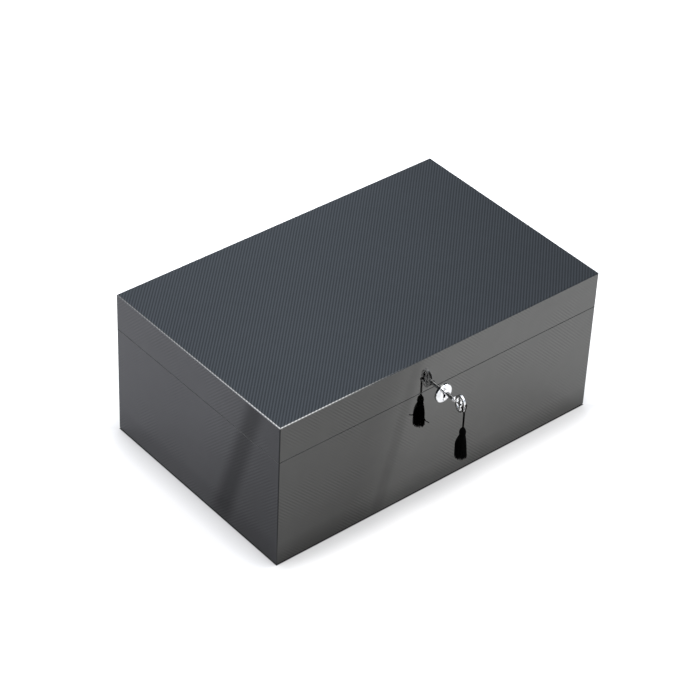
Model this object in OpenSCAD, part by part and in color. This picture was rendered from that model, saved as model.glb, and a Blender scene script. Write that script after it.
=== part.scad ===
// Locking watch winder box: a hinged case with two slanted turntables behind a storage tray.
// The origin is the middle of the face that it rests on: X is the width, Y points to the back, +Z is up.

/* [Box] */
// Width of the closed box
box_w = 350; // [344:1:380]
// Depth of the closed box
box_d = 222; // [218:1:240]
// Height of the closed box, felt pad to lid top
box_h = 146; // [142:1:160]
// Height of the seam between base and lid
seam_z = 110; // [108:1:114]
// Gap at the seam
seam_gap = 0.3; // [0.2:0.05:0.4]
// Wall thickness of the wooden shells
wall_t = 9; // [9:0.5:10]
// Thickness of the lid's top board
lid_top_t = 7; // [5:0.5:8]
// Thickness of the base's floor board
floor_t = 6; // [5:0.5:7]
// Radius of the lacquered outer edges
edge_r = 1.2; // [0.8:0.1:2]
// Chamfer of both edges at the seam
seam_chamfer = 0.3; // [0.3:0.1:0.8]

/* [Felt and lining] */
// Thickness of the felt pad under the base
pad_t = 1; // [0.8:0.1:2]
// How far the felt pad stays inside the outline
pad_inset = 3; // [2:0.5:8]
// Thickness of the suede-covered lining boards
lining_t = 2; // [1.6:0.1:2.4]
// Height of the locating lip above the seam
lip_h = 5; // [4:0.5:6]
// Gap between the locating lip and the lid's walls
lip_gap = 0.8; // [0.6:0.1:1]
// Thickness of the padded panel in the lid
lid_pad_t = 4; // [3:0.5:5]

/* [Hinges] */
// Distance of each hinge from the middle
hinge_x = 115; // [100:1:130]
// Width of a hinge
hinge_w = 38; // [34:1:44]
// Thickness of a hinge leaf
leaf_t = 1.5; // [1.2:0.1:1.8]
// Length of a leaf across the rim
leaf_depth = 7.5; // [7:0.25:8]
// Radius of the knuckles
knuckle_r = 2.6; // [2.4:0.1:3]
// Radius of the hinge pins
hinge_pin_r = 1.2; // [1:0.1:1.4]

/* [Turntables] */
// Tilt of the turntables out of the horizontal
winder_tilt = 45; // [42:1:47]
// Distance between the two turntable axes
winder_pitch = 164; // [156:1:168]
// Outer radius of a cup at its mouth
cup_r = 43.4; // [42:0.2:44]
// Outer radius of a cup at its bottom
cup_bottom_r = 40; // [39:0.2:41]
// Depth of a cup below the deck
cup_depth = 43.5; // [42:0.5:45]
// Wall thickness of a cup
cup_wall = 1.6; // [1.4:0.1:2]
// Width of the flange that covers the deck's opening
flange_w = 3.4; // [2.6:0.2:4]
// Thickness of the suede-covered deck
deck_t = 3; // [2.5:0.5:4]
// Half length of the deck's slope
deck_half = 49; // [48.5:0.5:50]

/* [Drive] */
// Gear module
gear_module = 1; // [1:0.25:1]
// Teeth of the turntable gear
gear_teeth = 60; // [56:1:62]
// Teeth of the motor pinion
pinion_teeth = 14; // [13:1:16]
// Width of the gear teeth
gear_face = 5; // [4:0.5:5.5]
// Play between the tooth flanks
backlash = 0.16; // [0.1:0.02:0.24]
// Radius of a spindle
spindle_r = 2.5; // [2:0.1:3]
// Outer radius of a spindle bush
bush_r = 4.5; // [4:0.1:5]
// Distance from the deck's surface to the back of the drive plate
drive_depth = 54.5; // [54:0.5:57]
// Height of the drive plate along the slope
plate_h = 68; // [64:1:70]
// Thickness of the drive plate
plate_t = 2; // [1.5:0.5:2.5]
// Radius of a motor
motor_r = 13.5; // [12:0.5:14]
// Length of a motor
motor_len = 18; // [14:0.5:19]

/* [Tray] */
// Number of storage places
tray_places = 5; // [4:1:5]
// Height of the tray's rim
tray_h = 45; // [42:1:48]
// Wall thickness of the tray
tray_wall = 3; // [2:0.5:4]
// Height of a storage pillow
pillow_h = 38; // [34:1:40]
// Gap round a storage pillow's sides
pillow_side_gap = 2.2; // [1.5:0.1:4]
// Room for the watch strap in front of and behind a storage pillow
strap_room = 8; // [6:0.5:12]

/* [Lock] */
// Height of the key's axis
key_z = 100.3; // [100:0.1:100.6]
// Width of the lock case
lock_w = 36; // [34:1:40]
// Height of the lock case
lock_h = 24; // [20:1:26]
// Depth of the lock case
lock_depth = 6; // [5.8:0.1:6.2]
// Travel of the lock bolt
bolt_travel = 4; // [3.5:0.1:4]
// Radius of the round escutcheon
escutcheon_r = 8.75; // [8:0.25:9.5]
// Thickness of the escutcheon at its middle
escutcheon_t = 1.8; // [1.5:0.1:2]

/* [Key] */
// Radius of the key's shank
shank_r = 1.8; // [1.6:0.1:1.9]
// Distance from the box's face to the middle of the bow
bow_out = 21.3; // [20:0.1:23]
// Half width of the bow, away from the box
bow_a = 5.9; // [5.6:0.1:6.6]
// Half height of the bow
bow_b = 8.9; // [8:0.1:9.4]
// Width of the bow's bars
bow_bar = 2.2; // [1.8:0.1:2.2]
// Thickness of the bow
bow_t = 2; // [1.6:0.1:2.2]
// Length of the key's bit from the axis
bit_len = 6; // [5.6:0.1:6.2]

/* [Tassel] */
// Diameter of the tassel's cord
tassel_cord_d = 0.9; // [0.7:0.05:0.9]
// Length of the tassel's head
tassel_head_len = 8.5; // [7:0.5:12]
// Length of the tassel's threads
tassel_skirt_len = 23; // [20:1:28]
// Radius of the tassel at its widest
tassel_r = 5.8; // [5:0.1:7]

/* [Controls] */
// Radius of a mode knob
knob_r = 6.5; // [5:0.5:7]
// Height of a mode knob
knob_h = 9; // [7:0.5:11]
// Radius of the power button
button_r = 4; // [3:0.5:4.5]
// Travel of the power button
button_travel = 1.2; // [0.8:0.1:1.5]
// Distance of the power jack from the box's right-hand end
jack_inset = 55; // [45:1:75]
// Height of the power jack
jack_z = 28; // [24:1:32]

/* [Hidden] */
$fn = 48;

LEFT = -1;
RIGHT = 1;
fit_gap = 0.3;      // between pieces that are set beside each other
run_gap = 0.05;     // radial play of a shaft in its bore
slide_gap = 0.2;    // play of a flat sliding piece
fuse = 0.6;         // how far joined forms of one piece run into each other
cut = 1;            // how far a cut runs past the face that it opens

carbon = [0.27, 0.29, 0.31];
suede = [0.16, 0.16, 0.17];
leather = [0.11, 0.11, 0.12];
chrome = [0.85, 0.85, 0.87];
steel = [0.7, 0.7, 0.72];
brass = [0.8, 0.65, 0.35];
black = [0.03, 0.03, 0.035];
nylon = [0.86, 0.85, 0.8];
board_green = [0.05, 0.3, 0.15];

front_y = -box_d / 2;
back_y = box_d / 2;
inner_w = box_w - 2 * wall_t;
inner_d = box_d - 2 * wall_t;
room_w = inner_w - 2 * lining_t;
room_d = inner_d - 2 * lining_t;
lining_z = pad_t + floor_t;
room_z = lining_z + lining_t;
jack_x = box_w / 2 - jack_inset;
lid_z = seam_z + seam_gap;
lid_ceiling_z = box_h - lid_top_t;
lip_z = seam_z + lip_h;

hinge_y = back_y + knuckle_r + slide_gap;
hinge_z = seam_z + seam_gap / 2;
knuckles = 5;
knuckle_w = hinge_w / knuckles;
knuckle_gap = 0.2;
screw_r = 1.1;
screw_head_r = 2.1;
screw_head_h = 1.1;
screw_len = 7.9;
screw_room = 0.1;
screw_spread = 12;

// The turntables: local z is out of the deck, local y up its slope.
drive_margin = 1.8;
drive_rise = 5;
winder_y = room_d / 2 - drive_margin - cos(winder_tilt) * plate_h / 2 - sin(winder_tilt) * drive_depth;
winder_z = room_z + drive_rise + sin(winder_tilt) * plate_h / 2 + cos(winder_tilt) * drive_depth;
slope_low = [winder_y - deck_half * cos(winder_tilt), winder_z - deck_half * sin(winder_tilt)];
slope_high = [winder_y + deck_half * cos(winder_tilt), winder_z + deck_half * sin(winder_tilt)];
deck_hole_r = cup_r + 1;
flange_r = cup_r + flange_w;
flange_lift = 0.8;
flange_t = 1.2;
ring_t = 1;
cup_floor = -cup_depth + cup_wall;
hub_r = 8;
hub_t = 1.2;
gear_top = -cup_depth - hub_t;
gear_bottom = gear_top - gear_face;
plate_top = -drive_depth + plate_t;
gear_centres = gear_module * (gear_teeth + pinion_teeth) / 2;
motor_x = winder_pitch / 2 - gear_centres;
spindle_end = -drive_depth - 6;
bush_flange_t = 1;
motor_boss_r = 3.6;
motor_boss_h = 1.2;
motor_shaft_r = 1.25;
winder_pillow = [58, 50, 36];
plate_w = room_w - 8;
plate_corner_r = 5;
post_r = 4;
post_x = plate_w / 2 - 2 * post_r;
post_y = plate_h / 2 - 1.75 * post_r;
gear_rim = 5 * gear_module;     // from the pitch circle in to the web
web_recess = 1.4;
web_hole_r = 5;
hub_step = 0.7;
collar_r = spindle_r + 1.4;     // the snap ring behind a spindle's bush
collar_t = 0.6;
guide_t = 2;
guide_h = 14;

control_size = [42, 46, 1.2];
control_corner_r = 4;
knob_x = 10;
knob_y = 8;
knob_shaft_r = 2;
shaft_gap = 0.5;
button_y = -13;
button_gap = 0.3;
button_lift = 0.4;  // what shows of the pressed button
button_cap_h = 9.4;
button_stem_r = 1.5;
board_size = [46, 42, 1.6];
board_top = -14.4;
encoder = [11, 12, 5.4];
switch = [10, 10, 4.4];
board_post_r = 2;
board_post = [19, 17];

jack_r = 4;         // the jack's threaded barrel
jack_len = 24;
jack_flange_r = 5.5;
jack_flange_t = 1.5;
jack_bore_r = 2.8;
jack_bore_depth = 8.5;
jack_pin_r = 1;
jack_nut_r = 6.4;
jack_nut_t = 2.5;

tray_w = room_w - 2 * fit_gap;
tray_front = -room_d / 2 + fit_gap;
tray_back = slope_low[0] - fit_gap;
tray_d = tray_back - tray_front;
tray_floor_t = 2;
cell_w = (tray_w - (tray_places + 1) * tray_wall) / tray_places;
cell_d = tray_d - 2 * tray_wall;

lock_back = front_y + wall_t;
lock_front = lock_back - lock_depth;
lock_plate_t = 1;
selvedge = [lock_w, 7, 1.2];
selvedge_y = front_y + 5;
mortise_gap = 0.1;
bolt_t = 1.4;
bolt_y = lock_front + lock_plate_t + 0.7;
bolt_low = key_z + shank_r + 2 * slide_gap;
bolt_h = 4;
bolt_len = 18;
bolt_nose = 4;
bit_t = 1.8;
bit_w = 1.2;
bit_gap = 0.4;
bit_y = lock_back - lock_plate_t - bit_gap - bit_w;
bolt_tail_x = bit_t / 2 + 2.3;
bolt_tail_w = 1.8;
link_x = bolt_nose + 1.5;
link_w = 5.5;
link_gap = 0.6;
link_rail = 2.2;    // below the hook's opening
keyhole_r = shank_r + 0.5;
escutcheon_z = key_z - 2.2;
escutcheon_pin_z = 0.735 * escutcheon_r;
escutcheon_face = 0.8 * escutcheon_t;       // the plate's thickness at its pins
nail_lift = 0.15;
nail_r = 0.5;
nail_len = 2.4;

bow_in_a = bow_a - bow_bar;
bow_in_b = bow_b - bow_bar;
bow_stem = 0.7 * bow_bar;
bow_hub_r = 1.9;
// The cord is hitched round the bow's outer end, where the key's axis meets it.
hang_out = bow_a - 0.3;     // from the middle of the bow to the tassel's axis, away from the box
hang = [0, front_y - bow_out - hang_out, key_z];
cord_drop = 22.3;
cord_x = 0.52;
hitch_gap = 0.15;
hitch = bow_t / 2 + tassel_cord_d / 2 + hitch_gap;
hitch_in = bow_in_a - tassel_cord_d / 2 - hitch_gap;
hitch_out = bow_a + tassel_cord_d / 2 + hitch_gap;
// [x, distance from the bow's middle, z] from the head, round the bar and back. It keeps to the two
// quarters that the bow doesn't sweep while the key turns.
cord_steps = [
    [-cord_x, hang_out, -cord_drop],
    [-cord_x, hang_out, -12],
    [-cord_x - 0.03, hang_out, -8],
    [-0.9, hang_out, -5.8],
    [-hitch, hang_out - 0.1, -3.6],
    [-hitch, hang_out - 0.5, -2.4],
    [-hitch, hang_out - 1.1, -hitch - 0.1],
    [-hitch, hitch_in + 0.7, -hitch],
    [-hitch, hitch_in, -hitch],
    [-0.9, hitch_in, -0.9],
    [0, hitch_in, 0],
    [0.9, hitch_in, 0.9],
    [hitch, hitch_in, hitch],
    [hitch, hitch_in + 0.7, hitch],
    [hitch, hang_out - 0.8, hitch],
    [hitch, hitch_out - 0.5, hitch],
    [1.3, hitch_out, 1],
    [1, hitch_out + 0.05, 0.1],
    [0.75, hitch_out, -0.9],
    [0.6, hitch_out - 0.2, -2.4],
    [cord_x, hang_out + 0.3, -4.4],
    [cord_x, hang_out, -6.5],
    [cord_x, hang_out, -9],
    [cord_x, hang_out, -cord_drop]
];
cord_route = [for (p = cord_steps) [p[0], hang_out - p[1], p[2]]];

// ---------- shared forms ----------

module rounded_rect(w, d, r) {
    square([w - 2 * r, d], center = true);
    square([w, d - 2 * r], center = true);
    for (sx = [-1, 1], sy = [-1, 1])
        translate([sx * (w / 2 - r), sy * (d / 2 - r)]) circle(r);
}

// A side view: round corners at the top, chamfers at the bottom.
module side_profile(w, h, r, c) {
    polygon([
        [-w / 2 + c, 0], [w / 2 - c, 0], [w / 2, c], [w / 2, h - r],
        [-w / 2, h - r], [-w / 2, c]
    ]);
    translate([-w / 2 + r, 0]) square([w - 2 * r, h]);
    for (s = [-1, 1]) translate([s * (w / 2 - r), h - r]) circle(r);
}

// A block with rounded upright and top edges and a chamfer round the bottom.
module soft_block(w, d, h, r, c) {
    intersection() {
        linear_extrude(h) rounded_rect(w, d, r);
        rotate([90, 0, 0]) linear_extrude(d + 2, center = true) side_profile(w, h, r, c);
        rotate([90, 0, 90]) linear_extrude(w + 2, center = true) side_profile(d, h, r, c);
    }
}

module block(x, y, z) {
    translate([x[0], y[0], z[0]]) cube([x[1] - x[0], y[1] - y[0], z[1] - z[0]]);
}

module ring_wall(w, d, h, t) {
    difference() {
        translate([-w / 2, -d / 2, 0]) cube([w, d, h]);
        translate([-w / 2 + t, -d / 2 + t, -1]) cube([w - 2 * t, d - 2 * t, h + 2]);
    }
}

// Local z points away from the front face.
module out_of_front(z) {
    translate([0, front_y, z]) rotate([90, 0, 0]) children();
}

module at_deck(x) {
    translate([x, winder_y, winder_z]) rotate([winder_tilt, 0, 0]) children();
}

module at_winder(side) {
    at_deck(side * winder_pitch / 2) children();
}

module at_motor(side) {
    at_deck(side * motor_x) children();
}

// ---------- box ----------

module base_pad() {
    color(black) linear_extrude(pad_t) rounded_rect(box_w - 2 * pad_inset, box_d - 2 * pad_inset, pad_inset);
}

module hinge_recesses(z, down) {
    for (s = [-1, 1]) {
        translate([s * hinge_x - hinge_w / 2 - mortise_gap, back_y - leaf_depth - mortise_gap, z])
            cube([hinge_w + 2 * mortise_gap, leaf_depth + 2, leaf_t + mortise_gap]);
        for (k = [-1, 1])
            translate([s * hinge_x + k * screw_spread, back_y - leaf_depth / 2, down ? z - screw_len : z])
                cylinder(r = screw_r + screw_room, h = screw_len + leaf_t);
    }
}

module keyhole_cut(depth) {
    translate([0, 0, -depth]) {
        cylinder(r = keyhole_r, h = 2 * depth);
        translate([-bit_t / 2 - bit_gap, -bit_len - bit_gap, 0])
            cube([bit_t + 2 * bit_gap, bit_len + bit_gap, 2 * depth]);
    }
}

module jack_hole() {
    translate([jack_x, back_y + cut, jack_z]) rotate([90, 0, 0])
        cylinder(r = jack_r + mortise_gap, h = wall_t + lining_t + 2 * cut);
}

module base_shell() {
    shell_h = seam_z - pad_t;
    color(carbon) difference() {
        translate([0, 0, seam_z]) mirror([0, 0, 1]) soft_block(box_w, box_d, shell_h, edge_r, seam_chamfer);
        translate([-inner_w / 2, -inner_d / 2, lining_z]) cube([inner_w, inner_d, seam_z]);
        hinge_recesses(seam_z - leaf_t - mortise_gap, true);
        block([-lock_w / 2 - mortise_gap, lock_w / 2 + mortise_gap],
            [lock_front - mortise_gap, lock_back + cut], [seam_z - lock_h - mortise_gap, seam_z + cut]);
        block([-lock_w / 2 - mortise_gap, lock_w / 2 + mortise_gap],
            [selvedge_y - selvedge[1] / 2 - mortise_gap, lock_back + cut],
            [seam_z - selvedge[2] - mortise_gap, seam_z + cut]);
        out_of_front(key_z) keyhole_cut(wall_t + cut);
        for (s = [-1, 1]) out_of_front(escutcheon_z + s * escutcheon_pin_z)
            translate([0, 0, -nail_len - slide_gap]) cylinder(r = nail_r + run_gap, h = nail_len + cut);
        jack_hole();
    }
}

module base_lining() {
    lip_t = lining_t - lip_gap;
    color(suede) difference() {
        union() {
            translate([-inner_w / 2, -inner_d / 2, lining_z]) cube([inner_w, inner_d, seam_z - lining_z]);
            translate([0, 0, seam_z - fuse])
                linear_extrude(lip_h + fuse)
                    square([room_w + 2 * lip_t, room_d + 2 * lip_t], center = true);
        }
        translate([-room_w / 2, -room_d / 2, room_z]) cube([room_w, room_d, box_h]);
        jack_hole();
    }
}

module lid_shell() {
    lid_h = box_h - lid_z;
    color(carbon) difference() {
        translate([0, 0, lid_z]) soft_block(box_w, box_d, lid_h, edge_r, seam_chamfer);
        translate([-inner_w / 2, -inner_d / 2, lid_z - cut])
            cube([inner_w, inner_d, lid_ceiling_z - lid_z + cut]);
        hinge_recesses(lid_z, false);
        block([-lock_w / 2 - mortise_gap, lock_w / 2 + mortise_gap],
            [selvedge_y - selvedge[1] / 2 - mortise_gap, selvedge_y + selvedge[1] / 2 + mortise_gap],
            [lid_z - cut, lid_z + selvedge[2] + mortise_gap]);
    }
}

module lid_lining() {
    bottom = lip_z + lip_gap;
    color(suede) translate([0, 0, bottom]) ring_wall(inner_w, inner_d, lid_ceiling_z - bottom, lining_t);
}

module lid_pad() {
    color(leather) translate([0, 0, lid_ceiling_z - lid_pad_t])
        linear_extrude(lid_pad_t) rounded_rect(room_w - 2 * fit_gap, room_d - 2 * fit_gap, 2);
}

// ---------- hinges ----------

// first: 0 for the base's knuckles, 1 for the lid's.
module hinge_leaf(z, first) {
    difference() {
        union() {
            translate([-hinge_w / 2, back_y - leaf_depth, z]) cube([hinge_w, leaf_depth, leaf_t]);
            for (k = [first:2:knuckles - 1])
                translate([-hinge_w / 2 + k * knuckle_w + knuckle_gap / 2, 0, 0]) {
                    translate([0, back_y - fuse, z])
                        cube([knuckle_w - knuckle_gap, hinge_y - back_y + fuse, leaf_t]);
                    translate([0, hinge_y, hinge_z]) rotate([0, 90, 0])
                        cylinder(r = knuckle_r, h = knuckle_w - knuckle_gap);
                }
        }
        translate([-hinge_w, hinge_y, hinge_z]) rotate([0, 90, 0])
            cylinder(r = hinge_pin_r + run_gap, h = 2 * hinge_w);
        for (k = [-1, 1]) translate([k * screw_spread, back_y - leaf_depth / 2, z])
            screw_seat(first == 0);
    }
}

module screw_seat(up) {
    translate([0, 0, up ? leaf_t : 0]) mirror([0, 0, up ? 1 : 0]) {
        cylinder(r1 = screw_head_r + screw_room, r2 = screw_r + screw_room, h = screw_head_h);
        translate([0, 0, -cut]) cylinder(r = screw_r + screw_room, h = leaf_t + 2 * cut);
    }
}

module hinge_screw() {
    cylinder(r1 = screw_head_r, r2 = screw_r, h = screw_head_h);
    cylinder(r = screw_r, h = screw_len);
}

module hinge_leaves_base() {
    color(chrome) for (s = [-1, 1]) translate([s * hinge_x, 0, 0]) hinge_leaf(seam_z - leaf_t, 0);
}

module hinge_leaves_lid() {
    color(chrome) for (s = [-1, 1]) translate([s * hinge_x, 0, 0]) hinge_leaf(lid_z, 1);
}

module hinge_pins() {
    color(steel) for (s = [-1, 1]) translate([s * hinge_x, hinge_y, hinge_z]) rotate([0, 90, 0])
        cylinder(r = hinge_pin_r, h = hinge_w, center = true);
}

module hinge_screw_places() {
    for (s = [-1, 1], k = [-1, 1])
        translate([s * hinge_x + k * screw_spread, back_y - leaf_depth / 2, 0]) children();
}

module hinge_screws_base() {
    color(steel) hinge_screw_places() translate([0, 0, seam_z]) mirror([0, 0, 1]) hinge_screw();
}

module hinge_screws_lid() {
    color(steel) hinge_screw_places() translate([0, 0, lid_z]) hinge_screw();
}

// ---------- lock ----------

module lock_case() {
    cavity_low = seam_z - lock_h + lock_plate_t;
    color(brass) difference() {
        union() {
            block([-lock_w / 2, lock_w / 2],
                [lock_front, lock_back - lock_plate_t], [seam_z - lock_h, seam_z]);
            translate([-lock_w / 2, selvedge_y - selvedge[1] / 2, seam_z - selvedge[2]]) cube(selvedge);
        }
        block([-lock_w / 2 + lock_plate_t, lock_w / 2 - lock_plate_t],
            [lock_front + lock_plate_t, lock_back], [cavity_low, seam_z - selvedge[2]]);
        block([link_x - link_gap, link_x + link_w + link_gap],
            [bolt_y - link_gap, bolt_y + bolt_t + link_gap], [seam_z - selvedge[2] - cut, seam_z + cut]);
        translate([0, lock_front + lock_plate_t / 2, key_z]) rotate([90, 0, 0]) keyhole_cut(lock_plate_t);
    }
}

module lock_cover() {
    color(brass) block([-lock_w / 2, lock_w / 2], [lock_back - lock_plate_t, lock_back],
        [seam_z - lock_h, seam_z - selvedge[2] - mortise_gap]);
}

module lock_bolt() {
    tail_low = key_z - bit_len + 2 * bit_gap;
    color(steel) {
        block([bolt_nose - bolt_len, bolt_nose], [bolt_y, bolt_y + bolt_t], [bolt_low, bolt_low + bolt_h]);
        block([bolt_tail_x, bolt_nose], [bolt_y + bolt_t, bit_y + bit_w], [bolt_low, bolt_low + bolt_h]);
        block([bolt_tail_x, bolt_tail_x + bolt_tail_w],
            [bit_y, bit_y + bit_w], [tail_low, bolt_low + bolt_h]);
    }
}

module link_plate() {
    hook_low = bolt_low - link_rail;
    color(brass) difference() {
        union() {
            translate([-lock_w / 2, selvedge_y - selvedge[1] / 2, lid_z]) cube(selvedge);
            block([link_x, link_x + link_w], [bolt_y, bolt_y + bolt_t], [hook_low, lid_z + fuse]);
        }
        block([link_x - cut, bolt_nose + bolt_travel + fit_gap], [bolt_y - cut, bolt_y + bolt_t + cut],
            [bolt_low - slide_gap, bolt_low + bolt_h + slide_gap]);
    }
}

module escutcheon() {
    r = escutcheon_r;
    color(chrome) out_of_front(0) difference() {
        translate([0, escutcheon_z, 0]) rotate_extrude()
            polygon([
                [0, 0], [r, 0], [r, 0.9], [r - 0.15, 1.15], [r - 0.5, 0.9 * escutcheon_face],
                [0.75 * r, escutcheon_face], [r / 2, escutcheon_t - 0.12],
                [0.25 * r, escutcheon_t], [0, escutcheon_t]
            ]);
        translate([0, key_z, 0]) keyhole_cut(escutcheon_t + cut);
        for (s = [-1, 1]) translate([0, escutcheon_z + s * escutcheon_pin_z, -cut])
            cylinder(r = nail_r + run_gap, h = escutcheon_t + 2 * cut);
    }
}

module escutcheon_pins() {
    color(black) for (s = [-1, 1]) out_of_front(escutcheon_z + s * escutcheon_pin_z) {
        translate([0, 0, -nail_len]) cylinder(r = nail_r, h = nail_len + escutcheon_t);
        translate([0, 0, escutcheon_face + nail_lift]) cylinder(r1 = 1.6 * nail_r, r2 = nail_r, h = 0.65);
    }
}

// ---------- key ----------

function ellipse(a, b) = [for (i = [0:39]) [a * cos(9 * i), b * sin(9 * i)]];

// The bow's outline in its own plane: x away from the box, y up.
module bow_outline() {
    difference() {
        polygon(ellipse(bow_a, bow_b));
        polygon(ellipse(bow_in_a, bow_in_b));
    }
    intersection() {
        polygon(ellipse(bow_a - bow_bar / 2, bow_b - bow_bar / 2));
        union() {
            translate([-bow_a, -bow_stem / 2]) square([bow_a, bow_stem]);
            square([bow_stem, 2 * bow_b], center = true);
            circle(bow_hub_r);
        }
    }
}

module key() {
    neck = bow_out - bow_a;
    tip = -(bit_y + bit_w - front_y);
    r = shank_r;
    color(steel) out_of_front(key_z) {
        translate([0, 0, tip]) cylinder(r = r, h = neck - tip + fuse);
        rotate_extrude() polygon([
            [0, neck - 1.5 * r], [r, neck - 1.5 * r], [1.25 * r, neck - 1.3 * r],
            [1.25 * r, neck - 1.1 * r], [r, neck - 0.9 * r], [1.2 * r, neck - 0.6 * r],
            [1.2 * r, neck - 0.3 * r], [r, neck + 0.15 * r], [0, neck + 0.15 * r]
        ]);
        translate([0, 0, bow_out]) rotate([0, -90, 0]) translate([0, 0, -bow_t / 2])
            linear_extrude(bow_t) bow_outline();
        translate([-bit_t / 2, -bit_len, tip]) cube([bit_t, bit_len, bit_w]);
    }
}

// ---------- tassel ----------

function ring_at(points, i, r) =
    let (
        a = points[max(i - 1, 0)],
        b = points[min(i + 1, len(points) - 1)],
        t = (b - a) / norm(b - a),
        across = cross(t, [1, 0, -1]),
        n = across / norm(across),
        m = cross(n, t)
    )
    [for (k = [0:7]) points[i] + r * (cos(45 * k) * n + sin(45 * k) * m)];

// A round tube along a route.
module route_tube(points, r) {
    last = len(points) - 1;
    polyhedron(
        points = [for (i = [0:last]) each ring_at(points, i, r)],
        faces = concat(
            [[for (k = [0:7]) k]],
            [for (i = [0:last - 1], k = [0:7]) let (a = 8 * i + k, b = 8 * i + (k + 1) % 8)
                each [[a, a + 8, b + 8], [a, b + 8, b]]],
            [[for (k = [7:-1:0]) 8 * last + k]]
        )
    );
}

module tassel_cord() {
    color(black) translate(hang) route_tube(cord_route, tassel_cord_d / 2);
}

module tassel_head() {
    l = tassel_head_len;
    color(black) translate(hang - [0, 0, cord_drop]) rotate_extrude() polygon([
        [0, 0], [1.2, 0], [1.6, -0.5], [2.2, -1.6], [2.7, -2.9], [2.95, -4.4],
        [3, -l + 2.6], [2.75, -l + 1.6], [2.75, -l + 0.8], [2.9, -l], [0, -l]
    ]);
}

module tassel_skirt() {
    r = tassel_r;
    l = tassel_skirt_len;
    color(black) translate(hang - [0, 0, cord_drop + tassel_head_len]) rotate_extrude() polygon([
        [0, 0], [2.7, 0], [3.3, -0.05 * l], [0.78 * r, -0.14 * l], [0.94 * r, -0.24 * l],
        [r, -0.38 * l], [r, -0.6 * l], [0.97 * r, -0.82 * l], [0.9 * r, -l], [0, -l]
    ]);
}

// ---------- winder ----------

module winder_deck() {
    lo = slope_low;
    hi = slope_high;
    t = deck_t;
    k = tan(winder_tilt);
    s = t / cos(winder_tilt);
    back = room_d / 2 - fit_gap;
    color(suede) difference() {
        rotate([90, 0, 90]) linear_extrude(room_w - 2 * fit_gap, center = true) polygon([
            [lo[0], room_z], lo, hi, [back, hi[1]], [back, hi[1] - t],
            [hi[0] + (s - t) / k, hi[1] - t], [lo[0] + t, lo[1] + t * k - s], [lo[0] + t, room_z]
        ]);
        for (side = [LEFT, RIGHT]) at_winder(side)
            cylinder(r = deck_hole_r, h = 4 * deck_t, center = true, $fn = 96);
        for (side = [LEFT, RIGHT]) at_deck(side * knob_x) translate([0, knob_y, 0])
            cylinder(r = knob_shaft_r + shaft_gap, h = 4 * deck_t, center = true);
        at_deck(0) translate([0, button_y, 0])
            cylinder(r = button_r + 2 * button_gap, h = 4 * deck_t, center = true);
    }
}

module turntable(side) {
    guide_x = winder_pillow[0] / 2 + fit_gap;
    color(black) at_winder(side) {
        rotate_extrude($fn = 96) polygon([
            [0, -cup_depth], [cup_bottom_r, -cup_depth], [cup_r, 0], [cup_r, flange_lift],
            [flange_r, flange_lift], [flange_r, flange_lift + flange_t],
            [cup_r - cup_wall, flange_lift + flange_t], [cup_r - cup_wall, 0],
            [cup_bottom_r - cup_wall, cup_floor], [0, cup_floor]
        ]);
        intersection() {
            for (s = [-1, 1]) translate([s > 0 ? guide_x : -guide_x - guide_t, -cup_r, cup_floor - fuse])
                cube([guide_t, 2 * cup_r, guide_h + fuse]);
            translate([0, 0, -cup_depth])
                cylinder(r = cup_bottom_r - cup_wall / 2, h = cup_depth, $fn = 96);
        }
    }
}

module cup_ring(side) {
    z = flange_lift + flange_t;
    color(chrome) at_winder(side) rotate_extrude($fn = 96) polygon([
        [cup_r - cup_wall, z], [flange_r, z], [flange_r, z + 0.4], [flange_r - 0.8, z + ring_t],
        [cup_r - cup_wall + 1, z + ring_t], [cup_r - cup_wall, z + 0.4]
    ]);
}

module winder_pillow(side) {
    w = winder_pillow[0];
    d = winder_pillow[1];
    h = winder_pillow[2];
    color(leather) at_winder(side) translate([0, 0, cup_floor + fit_gap + h / 2])
        rotate([90, 0, 90]) linear_extrude(w, center = true) stadium(d, h);
}

module stadium(l, h) {
    square([l - h, h], center = true);
    for (s = [-1, 1]) translate([s * (l - h) / 2, 0]) circle(h / 2);
}

// ---------- gears ----------

PRESSURE = 20;
function involute(rb, t) = rb * [cos(t) + t * PI / 180 * sin(t), sin(t) - t * PI / 180 * cos(t)];
function roll_angle(rb, r) = sqrt(pow(r / rb, 2) - 1) * 180 / PI;
function turned(p, a) = [p[0] * cos(a) - p[1] * sin(a), p[0] * sin(a) + p[1] * cos(a)];

// One tooth about the +X axis: points from the root up one flank and down the other.
function tooth(n, play) =
    let (
        rp = gear_module * n / 2,
        rb = rp * cos(PRESSURE),
        ra = rp + gear_module,
        rf = rp - 1.25 * gear_module,
        r0 = max(rb, rf),
        pitch_roll = roll_angle(rb, rp),
        half = 90 / n - play / (2 * rp) * 180 / PI + (pitch_roll - atan(pitch_roll * PI / 180)),
        flank = [for (i = [0:3]) let (r = r0 + (ra - r0) * i / 3)
            turned(involute(rb, roll_angle(rb, r)), -half)],
        root = rf * [cos(half + 0.3), -sin(half + 0.3)]
    )
    concat([root], flank, [for (i = [3:-1:0]) [flank[i][0], -flank[i][1]]], [[root[0], -root[1]]]);

module gear_outline(n, play) {
    one = tooth(n, play);
    polygon([for (k = [0:n - 1]) each [for (p = one) turned(p, 360 * k / n)]]);
}

// The motors lie between the two turntables: the first tooth of each gear points that way.
function to_motor(side) = side == RIGHT ? 180 : 0;

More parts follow.
